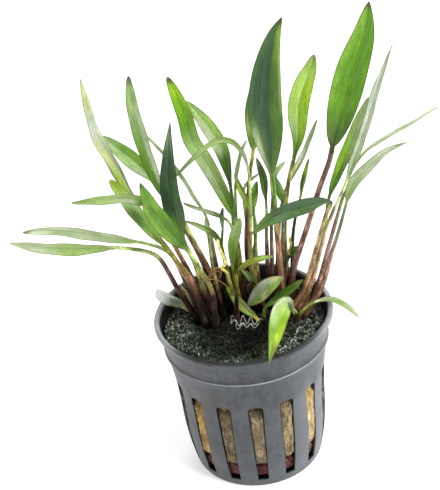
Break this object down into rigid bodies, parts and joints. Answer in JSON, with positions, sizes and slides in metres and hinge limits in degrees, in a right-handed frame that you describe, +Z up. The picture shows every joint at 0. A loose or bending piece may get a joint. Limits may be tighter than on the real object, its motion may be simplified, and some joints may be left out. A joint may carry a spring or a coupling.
{
  "type": "potted cryptocoryne",
  "caption": "Narrow-leaved aquarium plant in a slotted net pot, rooted in a mossy rock wool plug over a clay weight ring.",
  "frame": {"origin": "middle of the pot's flat foot, on the surface it stands on", "axes": "+Z up along the pot's axis, +X to the right of the side seen first, +Y away from that side"},
  "size_m": [0.1301, 0.0653, 0.1443],
  "materials": {
    "slate_plastic": "satin",
    "fired_clay": "matte",
    "tan_wool": "matte",
    "brown_rootstock": "matte",
    "pale_root": "matte",
    "leaf_green": "satin",
    "leaf_dark": "satin",
    "leaf_bright": "satin",
    "leaf_pale": "satin"
  },
  "bodies": {
    "root": {"clay_ring": "fired_clay", "crown_front_right": "brown_rootstock", "crown_left": "brown_rootstock", "crown_middle": "brown_rootstock", "crown_right": "brown_rootstock", "leaf_far_right_01": "leaf_green", "leaf_far_right_02": "leaf_green", "leaf_far_right_03": "leaf_pale", "leaf_far_right_04": "leaf_green", "leaf_far_right_05": "leaf_pale", "leaf_far_right_06": "leaf_pale", "leaf_far_right_07": "leaf_bright", "leaf_left_01": "leaf_pale", "leaf_left_02": "leaf_pale", "leaf_left_03": "leaf_pale", "leaf_left_04": "leaf_green", "leaf_left_05": "leaf_green", "leaf_left_06": "leaf_bright", "leaf_left_07": "leaf_bright", "leaf_left_08": "leaf_dark", "leaf_left_09": "leaf_green", "leaf_left_10": "leaf_dark", "leaf_left_11": "leaf_pale", "leaf_left_12": "leaf_green", "leaf_left_13": "leaf_green", "leaf_middle_01": "leaf_bright", "leaf_middle_02": "leaf_dark", "leaf_middle_03": "leaf_pale", "leaf_middle_04": "leaf_dark", "leaf_middle_05": "leaf_green", "leaf_middle_06": "leaf_bright", "leaf_middle_07": "leaf_pale", "leaf_middle_08": "leaf_pale", "leaf_middle_09": "leaf_dark", "leaf_middle_10": "leaf_bright", "leaf_middle_11": "leaf_pale", "leaf_middle_12": "leaf_bright", "leaf_middle_13": "leaf_green", "leaf_middle_14": "leaf_bright", "leaf_middle_15": "leaf_bright", "leaf_right_01": "leaf_dark", "leaf_right_02": "leaf_bright", "leaf_right_03": "leaf_pale", "leaf_right_04": "leaf_bright", "leaf_right_05": "leaf_dark", "leaf_right_06": "leaf_pale", "leaf_right_07": "leaf_dark", "leaf_right_08": "leaf_dark", "leaf_right_09": "leaf_dark", "leaf_right_10": "leaf_bright", "leaf_right_11": "leaf_dark", "leaf_right_12": "leaf_bright", "net_pot": "slate_plastic", "root_front_left": "pale_root", "root_front_right": "pale_root", "wool_plug": "tan_wool"}
  },
  "joints": []
}
